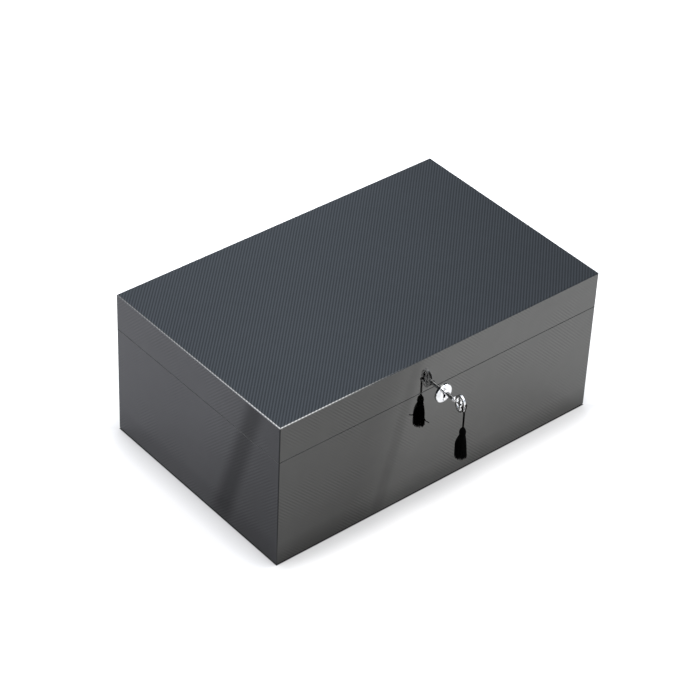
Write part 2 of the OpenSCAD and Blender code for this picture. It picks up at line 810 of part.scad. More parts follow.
module drive_gear(side) {
    web_r = gear_module * gear_teeth / 2 - gear_rim;
    color(nylon) at_winder(side) difference() {
        union() {
            translate([0, 0, gear_bottom]) rotate(to_motor(side))
                linear_extrude(gear_face) gear_outline(gear_teeth, backlash / 2);
            translate([0, 0, gear_bottom - hub_step]) cylinder(r = hub_r, h = gear_face + hub_step + hub_t);
        }
        translate([0, 0, gear_top - web_recess]) difference() {
            cylinder(r = web_r, h = 2 * web_recess);
            cylinder(r = hub_r, h = 2 * web_recess);
        }
        for (a = [0:60:300]) rotate(a) translate([(web_r + hub_r) / 2, 0, gear_bottom - cut])
            cylinder(r = web_hole_r, h = gear_face + 2 * cut);
        translate([0, 0, gear_bottom - cut]) cylinder(r = spindle_r, h = gear_face + hub_t + 2 * cut);
    }
}

// A tooth of the pinion points away from the gear, so that a gap meets the gear's tooth.
module pinion(side) {
    mesh_turn = pinion_teeth % 2 == 0 ? 180 / pinion_teeth : 0;
    color(brass) at_motor(side) translate([0, 0, gear_bottom]) difference() {
        rotate(to_motor(side) + mesh_turn) linear_extrude(gear_face) gear_outline(pinion_teeth, backlash / 2);
        translate([0, 0, -cut]) cylinder(r = motor_shaft_r, h = gear_face + 2 * cut);
    }
    color(steel) at_motor(side) translate([0, 0, -drive_depth + motor_boss_h + fit_gap])
        cylinder(r = motor_shaft_r, h = gear_top + drive_depth - motor_boss_h);
}

module spindle(side) {
    top = -cup_depth;
    color(steel) at_winder(side) {
        translate([0, 0, spindle_end]) cylinder(r = spindle_r, h = top - spindle_end);
        translate([0, 0, spindle_end + collar_t]) cylinder(r = collar_r, h = collar_t);
    }
}

module spindle_bush(side) {
    low = spindle_end + 2 * collar_t + slide_gap;
    color(brass) at_winder(side) difference() {
        union() {
            translate([0, 0, low]) cylinder(r = bush_r, h = plate_top - low);
            translate([0, 0, plate_top]) cylinder(r = bush_r + 1.5 * bush_flange_t, h = bush_flange_t);
        }
        translate([0, 0, low - cut])
            cylinder(r = spindle_r + run_gap, h = plate_top - low + 2 * cut + bush_flange_t);
    }
}

module drive_plate() {
    color(steel) at_deck(0) translate([0, 0, -drive_depth]) linear_extrude(plate_t) difference() {
        rounded_rect(plate_w, plate_h, plate_corner_r);
        for (side = [LEFT, RIGHT]) {
            translate([side * winder_pitch / 2, 0]) circle(bush_r);
            translate([side * motor_x, 0]) circle(motor_boss_r + mortise_gap);
        }
    }
}

module drive_posts() {
    bottom = plate_top;
    color(black) for (x = [-post_x, 0, post_x], y = [-post_y, post_y]) at_deck(x)
        translate([0, y, bottom]) cylinder(r = post_r, h = -deck_t - bottom);
}

module motor(side) {
    color(steel) at_motor(side) {
        translate([0, 0, -drive_depth - motor_len]) cylinder(r = motor_r, h = motor_len);
        translate([0, 0, -drive_depth]) cylinder(r = motor_boss_r, h = motor_boss_h);
        for (s = [-1, 1]) translate([-3 - 4 * s, -motor_r + 3, -drive_depth - motor_len - 2]) cube([2, 3, 2]);
    }
}

// ---------- controls ----------

module on_board(size) {
    translate([-size[0] / 2, -size[1] / 2, -fuse]) cube([size[0], size[1], size[2] + fuse]);
}

module circuit_board() {
    color(board_green) at_deck(0) {
        translate([-board_size[0] / 2, -board_size[1] / 2, board_top - board_size[2]]) cube(board_size);
        for (s = [-1, 1]) translate([s * knob_x, knob_y, board_top]) on_board(encoder);
        translate([0, button_y, board_top]) on_board(switch);
        for (s = [-1, 1], k = [-1, 1]) translate([s * board_post[0], k * board_post[1], board_top - fuse])
            cylinder(r = board_post_r, h = fuse - deck_t - board_top);
    }
}

module control_plate() {
    color(steel) at_deck(0) linear_extrude(control_size[2]) difference() {
        rounded_rect(control_size[0], control_size[1], control_corner_r);
        for (s = [-1, 1]) translate([s * knob_x, knob_y]) circle(knob_shaft_r + shaft_gap);
        translate([0, button_y]) circle(button_r + button_gap);
    }
}

module mode_knob(side) {
    low = control_size[2] + fit_gap;
    shaft_low = board_top + encoder[2] + fit_gap;
    r = knob_r;
    skirt_h = 0.2 * knob_h;
    pointer = 0.12 * r;
    flute = 0.11 * r;
    color(black) at_deck(side * knob_x) translate([0, knob_y, 0]) difference() {
        union() {
            translate([0, 0, low]) rotate_extrude() polygon([
                [0, 0], [r, 0], [r, 0.7 * skirt_h], [0.88 * r, skirt_h],
                [0.8 * r, 0.93 * knob_h], [0.71 * r, knob_h], [0, knob_h]
            ]);
            translate([0, 0, shaft_low]) cylinder(r = knob_shaft_r, h = low - shaft_low + fuse);
        }
        translate([-pointer / 2, pointer, low + knob_h - pointer / 2]) cube([pointer, r, pointer]);
        for (a = [15:30:345]) rotate(a) translate([0.95 * r, 0, low + skirt_h])
            cylinder(r = flute, h = knob_h);
    }
}

module power_button() {
    stem_low = board_top + switch[2] + button_travel + slide_gap;
    top = control_size[2] + button_travel + button_lift;
    color(chrome) at_deck(0) translate([0, button_y, 0]) {
        translate([0, 0, top - button_cap_h]) cylinder(r = button_r, h = button_cap_h);
        translate([0, 0, stem_low]) cylinder(r = button_stem_r, h = top - stem_low - fuse);
    }
}

module dc_jack() {
    color(black) translate([jack_x, back_y, jack_z]) rotate([-90, 0, 0]) difference() {
        union() {
            cylinder(r = jack_flange_r, h = jack_flange_t);
            translate([0, 0, -jack_len]) cylinder(r = jack_r - mortise_gap, h = jack_len + fuse);
        }
        translate([0, 0, -jack_bore_depth]) difference() {
            cylinder(r = jack_bore_r, h = jack_bore_depth + jack_flange_t + cut);
            translate([0, 0, -cut]) cylinder(r = jack_pin_r, h = jack_bore_depth + cut - fuse);
        }
    }
}

module dc_jack_nut() {
    color(steel) translate([jack_x, room_d / 2, jack_z]) rotate([90, 0, 0]) difference() {
        cylinder(r = jack_nut_r, h = jack_nut_t, $fn = 6);
        translate([0, 0, -cut]) cylinder(r = jack_r, h = jack_nut_t + 2 * cut);
    }
}

// ---------- storage ----------

module storage_tray() {
    color(suede) translate([0, tray_front, room_z]) difference() {
        translate([-tray_w / 2, 0, 0]) cube([tray_w, tray_d, tray_h]);
        for (i = [0:tray_places - 1])
            translate([-tray_w / 2 + tray_wall + i * (cell_w + tray_wall), tray_wall, tray_floor_t])
                cube([cell_w, cell_d, tray_h]);
    }
}

module storage_pillow(i) {
    w = cell_w - 2 * pillow_side_gap;
    x = -tray_w / 2 + tray_wall + cell_w / 2 + (i - 1) * (cell_w + tray_wall);
    if (i <= tray_places)
        color(leather)
            translate([x, tray_front + tray_d / 2, room_z + tray_floor_t + fit_gap + pillow_h / 2])
                rotate([90, 0, 90]) linear_extrude(w, center = true)
                    stadium(cell_d - 2 * strap_room, pillow_h);
}

base_pad();
base_shell();
base_lining();
lid_shell();
lid_lining();
lid_pad();
hinge_leaves_base();
hinge_leaves_lid();
hinge_pins();
hinge_screws_base();
hinge_screws_lid();
lock_case();
lock_cover();
lock_bolt();
link_plate();
escutcheon();
escutcheon_pins();
key();
tassel_cord();
tassel_head();
tassel_skirt();
winder_deck();
turntable(LEFT);  // turntable_left
turntable(RIGHT);  // turntable_right
cup_ring(LEFT);  // cup_ring_left
cup_ring(RIGHT);  // cup_ring_right
winder_pillow(LEFT);  // winder_pillow_left
winder_pillow(RIGHT);  // winder_pillow_right
drive_gear(LEFT);  // drive_gear_left
drive_gear(RIGHT);  // drive_gear_right
spindle(LEFT);  // spindle_left
spindle(RIGHT);  // spindle_right
spindle_bush(LEFT);  // spindle_bush_left
spindle_bush(RIGHT);  // spindle_bush_right
drive_plate();
drive_posts();
motor(LEFT);  // motor_left
motor(RIGHT);  // motor_right
pinion(LEFT);  // pinion_left
pinion(RIGHT);  // pinion_right
circuit_board();
control_plate();
mode_knob(LEFT);  // mode_knob_left
mode_knob(RIGHT);  // mode_knob_right
power_button();
dc_jack();
dc_jack_nut();
storage_tray();
storage_pillow(1);  // storage_pillow_1
storage_pillow(2);  // storage_pillow_2
storage_pillow(3);  // storage_pillow_3
storage_pillow(4);  // storage_pillow_4
storage_pillow(5);  // storage_pillow_5
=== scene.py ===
"""The looks of a lacquered watch winder box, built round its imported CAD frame."""

import math
import random

import bpy
from mathutils import Matrix, Vector, noise
from mathutils.bvhtree import BVHTree


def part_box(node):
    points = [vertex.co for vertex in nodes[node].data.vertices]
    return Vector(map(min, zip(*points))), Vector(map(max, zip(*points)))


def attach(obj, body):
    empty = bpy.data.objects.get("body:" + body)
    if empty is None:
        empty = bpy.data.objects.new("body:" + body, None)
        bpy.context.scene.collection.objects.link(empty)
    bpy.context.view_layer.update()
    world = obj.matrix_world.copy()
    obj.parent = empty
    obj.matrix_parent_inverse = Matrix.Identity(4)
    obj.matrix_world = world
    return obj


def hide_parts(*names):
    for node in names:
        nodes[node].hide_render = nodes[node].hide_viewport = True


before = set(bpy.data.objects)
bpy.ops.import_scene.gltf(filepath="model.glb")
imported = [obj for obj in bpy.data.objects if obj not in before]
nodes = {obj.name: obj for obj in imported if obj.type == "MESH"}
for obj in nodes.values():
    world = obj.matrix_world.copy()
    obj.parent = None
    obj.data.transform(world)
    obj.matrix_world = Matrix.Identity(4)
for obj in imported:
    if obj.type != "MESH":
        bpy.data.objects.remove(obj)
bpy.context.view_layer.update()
MM = 0.001


# ---------------------------------------------------------------- camera

CAMERA_PLACE = (-1.14857, -1.29984, 1.41945)
AZIMUTH = 41.2586       # degrees east of +Y that the camera looks
ELEVATION = 37.7994     # degrees that it looks down
ROLL = 2.7134
LENS = 130.144          # mm, on a 36 mm sensor

camera_data = bpy.data.cameras.new("camera")
camera_data.lens = LENS
camera_data.sensor_width = 36
camera_data.clip_start = 0.05
camera_data.clip_end = 50
camera = bpy.data.objects.new("camera", camera_data)
bpy.context.scene.collection.objects.link(camera)
camera.matrix_world = (
    Matrix.Translation(CAMERA_PLACE)
    @ Matrix.Rotation(math.radians(-AZIMUTH), 4, "Z")
    @ Matrix.Rotation(math.radians(90 - ELEVATION), 4, "X")
    @ Matrix.Rotation(math.radians(ROLL), 4, "Z")
)
bpy.context.scene.camera = camera
bpy.context.scene.view_settings.view_transform = "Standard"


# ---------------------------------------------------------------- materials

class Surface:
    """A procedural material: one Principled shader and the nodes that feed it."""

    def __init__(self, name, **constants):
        self.material = bpy.data.materials.new(name)
        self.material.use_nodes = True
        self.tree = self.material.node_tree
        self.shader = self.tree.nodes["Principled BSDF"]
        for socket, value in constants.items():
            self.shader.inputs[socket.replace("_", " ")].default_value = value

    def add(self, kind, settings=None, **inputs):
        made = self.tree.nodes.new("ShaderNode" + kind)
        for key, value in (settings or {}).items():
            setattr(made, key, value)
        for socket, value in inputs.items():
            self.feed(made.inputs[socket.replace("_", " ")], value)
        return made

    def feed(self, socket, value):
        if isinstance(value, bpy.types.NodeSocket):
            self.tree.links.new(value, socket)
        else:
            socket.default_value = value

    def math(self, operation, *values):
        made = self.tree.nodes.new("ShaderNodeMath")
        made.operation = operation
        for socket, value in zip(made.inputs, values):
            self.feed(socket, value)
        return made.outputs[0]

    def noise(self, scale, detail=2.0, stretch=(1, 1, 1)):
        point = self.add("TexCoord").outputs["Object"]
        mapped = self.add("Mapping", Vector=point, Scale=stretch).outputs[0]
        return self.add("TexNoise", Vector=mapped, Scale=scale, Detail=detail).outputs["Fac"]

    def range(self, value, low, high, from_low=0.0, from_high=1.0):
        made = self.add(
            "MapRange",
            Value=value,
            From_Min=from_low,
            From_Max=from_high,
            To_Min=low,
            To_Max=high,
        )
        return made.outputs[0]

    def within(self, value, middle, reach):
        """1 where value lies less than reach from middle, otherwise 0."""
        away = self.math("ABSOLUTE", self.math("SUBTRACT", value, middle))
        return self.math("LESS_THAN", away, reach)

    def choose(self, share, one, other):
        """A number: one where share is 0, other where it is 1."""
        return self.add("Mix", None, Factor=share, A=one, B=other).outputs[0]

    def mix(self, share, one, other):
        made = self.tree.nodes.new("ShaderNodeMix")
        made.data_type = "RGBA"
        self.feed(made.inputs[0], share)
        self.feed(made.inputs[6], one)
        self.feed(made.inputs[7], other)
        return made.outputs[2]

    def bump(self, height, strength, distance):
        return self.add("Bump", Height=height, Strength=strength, Distance=distance).outputs[0]

    def give(self, **links):
        for socket, value in links.items():
            self.feed(self.shader.inputs[socket.replace("_", " ")], value)
        return self.material


def grey(level):
    return (level, level, level, 1)


def paint(material, *names):
    for name in names:
        slots = nodes[name].data.materials
        slots.clear()
        slots.append(material)


TOW = 0.866 * MM                # width of one carbon tow
STRANDS = 6                     # fine ridges across a tow
FACING = 0.71                   # a face looks along an axis when its normal has this much of it
HALF_WIDTH, HALF_DEPTH, SEAM_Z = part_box("base_shell")[1]    # the base ends where the lid begins
# painted reflection: the one lacquered carbon gets its own tint on the top, on the front and back, and
# on the ends, set to how bright and how blue each face's reflection shows
TOP_REFLECTION_TINT = (0.083, 0.084, 0.085)
FRONT_REFLECTION_TINT = (0.096, 0.096, 0.093)      # the front and the back
END_REFLECTION_TINT = (0.083, 0.084, 0.091)


def carbon():
    """Twill-woven carbon cloth under a polished black lacquer: a dark mirror with a faint weave."""
    s = Surface("lacquered_carbon", Metallic=1.0)
    texture = s.add("TexCoord")
    point = s.add("SeparateXYZ", Vector=texture.outputs["Object"]).outputs
    normal = s.add("SeparateXYZ", Vector=texture.outputs["Normal"]).outputs
    faces_x, faces_y, faces_z = [
        s.math("GREATER_THAN", s.math("ABSOLUTE", part), FACING) for part in normal
    ]
    # the cloth's two directions: X and Y on top, X and down the wall in front, Y and down on the ends
    across = s.choose(faces_x, point[0], point[1])
    up = s.choose(faces_z, s.math("MULTIPLY", point[2], -1.0), point[1])
    u = s.math("DIVIDE", across, TOW)
    v = s.math("DIVIDE", up, TOW)
    # a two-and-two twill: of every four tows, two lie over, one further along in each row
    step = s.math("SUBTRACT", s.math("FLOOR", u), s.math("FLOOR", v))
    warp = s.math("LESS_THAN", s.math("FLOORED_MODULO", step, 4.0), 1.5)
    strands = s.math("SINE", s.math("MULTIPLY", s.choose(warp, u, v), STRANDS * math.tau))
    wander = s.noise(90.0, 2.0)
    broad = s.noise(9.0, 3.0)
    weave = s.math("ADD", s.range(warp, -1.0, 1.0), s.math("MULTIPLY", strands, 0.15))
    # on the sides the weave only shows in patches
    side_contrast = s.range(s.noise(26.0, 2.0), 0.01, 0.13, 0.46, 0.62)
    top_contrast = 0.29
    contrast = s.math("MULTIPLY", weave, s.choose(faces_z, side_contrast, top_contrast))
    drift = s.math("ADD", s.range(wander, -0.05, 0.05), s.range(broad, -0.05, 0.05))
    level = s.math("ADD", 1.0, s.math("ADD", contrast, drift))
    # the chamfers at the seam between lid and base are rough, and their colour is darkened there as
    # painted shade
    tilted = s.within(s.math("ABSOLUTE", normal[2]), 0.6, 0.3)
    dull = s.math("MULTIPLY", tilted, s.within(point[2], SEAM_Z, 0.5 * MM))
    level = s.math("MULTIPLY", level, s.range(dull, 1.0, 0.6))
    colour = {}
    # painted reflection: a face's colour is the level times the tint for the way that face looks
    for channel, top, front, end in zip(("Red", "Green", "Blue"), TOP_REFLECTION_TINT, FRONT_REFLECTION_TINT, END_REFLECTION_TINT):
        tint = s.choose(faces_x, s.range(faces_y, top, front), end)
        colour[channel] = s.math("MULTIPLY", level, tint)
    return s.give(
        Base_Color=s.add("CombineColor", **colour).outputs[0],
        Roughness=s.choose(dull, s.range(wander, 0.03, 0.06), 0.7),
        Normal=s.bump(s.math("ADD", wander, s.math("MULTIPLY", weave, 0.02)), 0.02, 0.05 * MM),
    )


def polished(name, tint, rough=0.08, scale=900.0):
    """Polished or plated metal with faint wiping marks."""
    s = Surface(name, Metallic=1.0)
    haze = s.noise(60.0, 3.0)
    marks = s.noise(scale, 2.0, (1, 0.15, 0.15))
    level = s.math("ADD", s.math("MULTIPLY", haze, 0.6), s.math("MULTIPLY", marks, 0.4))
    dull = tuple(c * 0.86 for c in tint[:3]) + (1,)
    return s.give(
        Base_Color=s.mix(level, dull, tint),
        Roughness=s.range(level, rough * 0.6, rough * 1.5),
        Normal=s.bump(marks, 0.04, 0.02 * MM),
    )


def suede(name, dark, light):
    """Short-napped microsuede: brushed patches and a fine fibre grain."""
    s = Surface(name, Roughness=0.95, Sheen_Weight=0.5, Sheen_Roughness=0.45,
                Specular_IOR_Level=0.2)
    nap = s.range(s.noise(16.0, 4.0, (1, 1.6, 1)), 0.0, 1.0, 0.34, 0.66)
    fibre = s.noise(1900.0, 2.0)
    level = s.math("ADD", s.math("MULTIPLY", nap, 0.65), s.math("MULTIPLY", fibre, 0.35))
    return s.give(
        Base_Color=s.mix(level, dark, light),
        Normal=s.bump(fibre, 0.5, 0.12 * MM),
    )


def leather(name, dark, light):
    """Fine-grained leatherette: small raised cells with creases between them."""
    s = Surface(name, Specular_IOR_Level=0.45)
    point = s.add("TexCoord").outputs["Object"]
    cells = s.add("TexVoronoi", {"feature": "DISTANCE_TO_EDGE"}, Vector=point, Scale=620.0)
    pebble = s.math("MINIMUM", s.math("MULTIPLY", cells.outputs[0], 5.0), 1.0)
    broad = s.noise(45.0, 3.0)
    level = s.math("ADD", s.math("MULTIPLY", pebble, 0.55), s.math("MULTIPLY", broad, 0.45))
    return s.give(
        Base_Color=s.mix(level, dark, light),
        Roughness=s.range(level, 0.62, 0.42),
        Normal=s.bump(pebble, 0.35, 0.10 * MM),
    )


def plastic(name, dark, light, rough=0.42, grain=2400.0):
    """Moulded plastic with a spark-eroded grain."""
    s = Surface(name)
    fine = s.noise(grain, 2.0)
    broad = s.noise(25.0, 2.0)
    return s.give(
        Base_Color=s.mix(broad, dark, light),
        Roughness=s.range(fine, rough - 0.08, rough + 0.1),
        Normal=s.bump(fine, 0.25, 0.05 * MM),
    )


def brushed(name, tint, rough=0.3):
    """Brushed metal, its lines along X."""
    s = Surface(name, Metallic=1.0)
    lines = s.noise(9000.0, 1.0, (0.004, 1, 1))
    dull = tuple(c * 0.85 for c in tint[:3]) + (1,)
    return s.give(
        Base_Color=s.mix(lines, dull, tint),
        Roughness=s.range(lines, rough - 0.08, rough + 0.12),
        Normal=s.bump(lines, 0.05, 0.02 * MM),
    )


def board_green():
    """Circuit board: solder resist over copper tracks."""
    s = Surface("board", Roughness=0.35, Coat_Weight=0.4, Coat_Roughness=0.15)
    point = s.add("TexCoord").outputs["Object"]
    tracks = s.add(
        "TexBrick", {"offset": 0.5}, Vector=point, Scale=160.0, Mortar_Size=0.02
    ).outputs["Fac"]
    mottle = s.noise(300.0, 2.0)
    base = s.mix(mottle, (0.006, 0.045, 0.020, 1), (0.010, 0.075, 0.032, 1))
    return s.give(
        Base_Color=s.mix(tracks, base, (0.035, 0.16, 0.07, 1)),
        Normal=s.bump(tracks, 0.3, 0.05 * MM),
    )


def thread():
    """Black viscose thread, a little shiny along its fibres."""
    s = Surface("tassel_thread", Roughness=0.8, Specular_IOR_Level=0.012)
    fibre = s.noise(2500.0, 2.0, (1, 1, 0.15))
    return s.give(
        Base_Color=s.mix(fibre, grey(0.0003), grey(0.0015)),
        Normal=s.bump(fibre, 0.4, 0.05 * MM),
    )


def stitching():
    """Grey sewing thread."""
    s = Surface("sewing_thread", Roughness=0.6, Sheen_Weight=0.3)
    fibre = s.noise(4000.0, 2.0)
    return s.give(
        Base_Color=s.mix(fibre, grey(0.10), grey(0.22)),
        Normal=s.bump(fibre, 0.3, 0.03 * MM),
    )


def felt():
    """Pressed felt under the box."""
    s = Surface("felt", Roughness=1.0, Specular_IOR_Level=0.1)
    fibre = s.noise(1400.0, 4.0)
    blot = s.noise(60.0, 3.0)
    level = s.math("ADD", s.math("MULTIPLY", fibre, 0.6), s.math("MULTIPLY", blot, 0.4))
    return s.give(
        Base_Color=s.mix(level, grey(0.006), grey(0.022)),
        Normal=s.bump(fibre, 0.8, 0.2 * MM),
    )


CHROME = (0.80, 0.81, 0.82, 1)
STEEL = (0.52, 0.52, 0.53, 1)
BRASS = (0.76, 0.55, 0.24, 1)

carbon_finish = carbon()
thread_finish = thread()
stitch_finish = stitching()
suede_finish = suede("suede", grey(0.010), grey(0.032))
leather_finish = leather("leather", (0.009, 0.009, 0.010, 1), (0.028, 0.028, 0.030, 1))

paint(carbon_finish, "base_shell", "lid_shell")
paint(felt(), "base_pad")
paint(suede_finish, "base_lining", "lid_lining", "winder_deck", "storage_tray")
paint(leather_finish, "lid_pad", *[f"storage_pillow_{i}" for i in range(1, 6)],
      "winder_pillow_left", "winder_pillow_right")
paint(polished("hinge_chrome", CHROME), "hinge_leaves_base", "hinge_leaves_lid",
      "hinge_pins", "hinge_screws_base", "hinge_screws_lid")
paint(brushed("lock_brass", BRASS), "lock_case", "lock_cover", "link_plate")
paint(brushed("lock_steel", STEEL), "lock_bolt", "drive_plate")
paint(polished("escutcheon_chrome", CHROME, 0.06), "escutcheon")
paint(polished("key_metal", (0.78, 0.78, 0.78, 1), 0.16), "key")
paint(polished("pin_metal", STEEL, 0.15), "escutcheon_pins", "drive_posts", "spindle_left",
      "spindle_right", "motor_left", "motor_right", "dc_jack_nut")
paint(plastic("cup_plastic", grey(0.010), grey(0.016)), "turntable_left",
      "turntable_right", "dc_jack")
paint(polished("ring_chrome", CHROME, 0.05), "cup_ring_left", "cup_ring_right")
paint(plastic("gear_nylon", (0.60, 0.58, 0.52, 1), (0.68, 0.66, 0.60, 1), 0.38),
      "drive_gear_left", "drive_gear_right")
paint(polished("pinion_brass", BRASS, 0.12), "pinion_left", "pinion_right",
      "spindle_bush_left", "spindle_bush_right")
paint(board_green(), "circuit_board")
paint(brushed("control_metal", (0.42, 0.42, 0.43, 1), 0.28), "control_plate",
      "mode_knob_left", "mode_knob_right", "power_button")


def soften(name, width, segments=3):
    """Round a node's sharp edges, as polishing or moulding does."""
    bevel = nodes[name].modifiers.new("soft_edges", "BEVEL")
    bevel.width = width
    bevel.segments = segments
    bevel.limit_method = "ANGLE"
    bevel.angle_limit = math.radians(40)


soften("key", 0.5 * MM, 4)


# ---------------------------------------------------------------- mesh help

def add_mesh(name, points, faces, material, smooth=True):
    mesh = bpy.data.meshes.new(name)
    mesh.from_pydata([tuple(p) for p in points], [], faces)
    mesh.validate()
    mesh.materials.append(material)
    for polygon in mesh.polygons:
        polygon.use_smooth = smooth
    made = bpy.data.objects.new(name, mesh)
    bpy.context.scene.collection.objects.link(made)
    return made


def smooth_path(points, steps):
    """Catmull-Rom through the points, steps pieces to each span."""
    ends = [points[0] * 2 - points[1]] + points + [points[-1] * 2 - points[-2]]
    path = []
    for a, b, c, d in zip(ends, ends[1:], ends[2:], ends[3:]):
        for k in range(steps):
            t = k / steps
            path.append(
                0.5
                * (
                    2 * b
                    + (c - a) * t
                    + (2 * a - 5 * b + 4 * c - d) * t * t
                    + (3 * b - a - 3 * c + d) * t ** 3
                )
            )
    return path + [points[-1]]


def sweep(path, radius, sides, lobes=0, pitch=1.0):
    """Points and faces of a tube along path. With lobes it is a laid cord of that many plies."""
    points, faces = [], []
    side = None
    run = 0.0
    for i, p in enumerate(path):
        ahead = (path[min(i + 1, len(path) - 1)] - path[max(i - 1, 0)]).normalized()
        if side is None:
            side = ahead.orthogonal().normalized()
        side = (side - ahead * side.dot(ahead)).normalized()
        other = ahead.cross(side)
        if i:
            run += (p - path[i - 1]).length
        for k in range(sides):
            a = math.tau * k / sides
            out = radius
            if lobes:
                swell = abs(math.cos(lobes * (a - math.tau * run / pitch) / 2))
                out = radius * (0.84 + 0.16 * swell)
            points.append(p + side * (out * math.cos(a)) + other * (out * math.sin(a)))
        if i:
            base = (i - 1) * sides
            for k in range(sides):
                n = (k + 1) % sides
                faces.append((base + k, base + n, base + sides + n, base + sides + k))
    faces.append(tuple(range(sides))[::-1])
    faces.append(tuple(range(len(points) - sides, len(points))))
    return points, faces


def merge(parts):
    points, faces = [], []
    for p, f in parts:
        start = len(points)
        points += p
        faces += [tuple(i + start for i in face) for face in f]
    return points, faces


# ---------------------------------------------------------------- tassel

HANG = Vector((0, -137.9, 100.3)) * MM       # the tassel's axis, at the height of the key's
CORD_RADIUS = 0.45 * MM
route = [  # x, y and z about HANG, in mm: up from the head, round the bow's outer end and back
    (-0.52, 0, -22.3), (-0.52, 0, -16), (-0.52, 0, -12), (-0.55, 0, -8), (-0.9, 0, -5.8),
    (-1.6, 0.1, -3.6), (-1.6, 0.5, -2.4), (-1.6, 1.1, -1.7), (-1.6, 1.8, -1.6),
    (-1.6, 2.5, -1.6), (-0.9, 2.5, -0.9), (0, 2.5, 0), (0.9, 2.5, 0.9), (1.6, 2.5, 1.6),
    (1.6, 1.8, 1.6), (1.6, 0.8, 1.6), (1.6, -0.4, 1.6), (1.3, -0.9, 1), (1, -0.95, 0.1),
    (0.75, -0.9, -0.9), (0.6, -0.7, -2.4), (0.52, -0.3, -4.4), (0.52, 0, -6.5), (0.52, 0, -9),
    (0.52, 0, -13), (0.52, 0, -17), (0.52, 0, -22.3),
]
cord_path = smooth_path([HANG + Vector(p) * MM for p in route], 5)
tassel_cord = add_mesh(
    "tassel_loop",
    *sweep(cord_path, CORD_RADIUS, 15, lobes=3, pitch=2.6 * MM),
    thread_finish,
)
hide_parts("tassel_cord")
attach(tassel_cord, "tassel")

HEAD_TOP = 78.0 * MM
HEAD_BOTTOM = 69.5 * MM
BULGE = math.radians(170)       # the side on which the skirt bulges soonest
SKIRT_START = 2.5               # mm, the skirt's radius under the binding
SKIRT_WIDE = 5.7                # mm, its radius at the widest
SKIRT_RINGS = ((1.0, 64), (0.82, 50), (0.62, 36), (0.4, 22), (0.16, 8))    # share of radius, threads
THREAD_RADIUS = 0.28 * MM
STRAY_RADIUS = 0.48 * MM
rng = random.Random(7)


def about_hang(radius, angle, z):
    """The point at a radius in mm and an angle about the tassel's axis, at height z in metres."""
    return Vector((radius * math.cos(angle) * MM, HANG.y + radius * math.sin(angle) * MM, z))


def tassel_head():
    """The wound head: a bulb of folded thread over a tight binding."""
    profile = [  # radius and depth below the head's top, in mm
        (0.3, 0.0), (1.15, 0.05), (1.6, 0.5), (2.2, 1.6),
        (2.65, 2.9), (2.85, 4.4), (2.8, 5.6), (2.5, 6.3),
    ]
    turns = 72
    points, faces = [], []
    for i, (r, drop) in enumerate(profile):
        for k in range(turns):
            a = math.tau * k / turns
            points.append(about_hang(r * (1 + 0.045 * math.cos(18 * a)), a, HEAD_TOP - drop * MM))
        if i:
            base = (i - 1) * turns
            for k in range(turns):
                n = (k + 1) % turns
                faces.append((base + k, base + turns + k, base + turns + n, base + n))
    faces.append(tuple(range(turns)))
    faces.append(tuple(range(len(points) - turns, len(points)))[::-1])
    wrap_turns = 5
    wraps = [
        about_hang(2.45, math.tau * k / 24, HEAD_TOP - (5.9 + 2.2 * k / (wrap_turns * 24)) * MM)
        for k in range(wrap_turns * 24 + 1)
    ]
    core = [Vector((0, HANG.y, HEAD_TOP - d * MM)) for d in (5.8, 7.0, 8.4)]
    return merge([(points, faces), sweep(core, 2.4 * MM, 24), sweep(wraps, 0.27 * MM, 6)])


head = add_mesh("tassel_bound_head", *tassel_head(), thread_finish)
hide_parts("tassel_head")
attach(head, "tassel")


def skirt_thread(angle, ring, length, wide):
    """One thread of the skirt, from the binding to its cut end, in mm about the tassel's axis."""
    path = []
    steps = 10
    lean = rng.uniform(-0.22, 0.22)
    for k in range(steps + 1):
        t = k / steps
        a = angle + lean * t + 0.09 * math.sin(5 * t + angle * 3) * t
        quick = math.sin(min(1.0, t / 0.45) * math.pi / 2)
        slow = t ** 0.8
        share = 0.5 + 0.5 * math.cos(a - BULGE)
        spread = share * (quick - 0.12 * t * t) + (1 - share) * 0.72 * slow
        r = ring * (SKIRT_START + (wide - SKIRT_START) * spread)
        path.append(about_hang(r, a, HEAD_BOTTOM + (0.7 - length * t) * MM))
    return sweep(path, THREAD_RADIUS, 5)


def stray_thread(angle, z, reach):
    """A thread that has worked loose and stands off the skirt at height z mm."""
    out = [4.6, 5.6, 5.6 + 0.5 * reach, 5.6 + reach]
    drop = [-2.5, -0.6, 0.1, 0.5]
    path = [
        about_hang(r, angle + 0.05 * i, (z - d) * MM) for i, (r, d) in enumerate(zip(out, drop))
    ]
    return sweep(smooth_path(path, 4), STRAY_RADIUS, 6)


def tassel_skirt():
    """The skirt: rings of hanging threads, and two threads that have worked loose."""
    parts = []
    for ring, count in SKIRT_RINGS:
        for k in range(count):
            angle = math.tau * (k + rng.uniform(-0.3, 0.3)) / count
            length = rng.uniform(22.0, 23.6)
            wide = SKIRT_WIDE * rng.uniform(0.93, 1.03)
            parts.append(skirt_thread(angle, ring, length, wide))
    left_and_forward = math.atan2(-0.66, -0.752)
    right_and_back = math.atan2(0.66, 0.752)
    parts.append(stray_thread(left_and_forward, 55.7, 3.2))
    parts.append(stray_thread(right_and_back, 50.2, 3.2))
    return merge(parts)


skirt = add_mesh("tassel_threads", *tassel_skirt(), thread_finish)
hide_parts("tassel_skirt")
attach(skirt, "tassel")


# ---------------------------------------------------------------- cushions

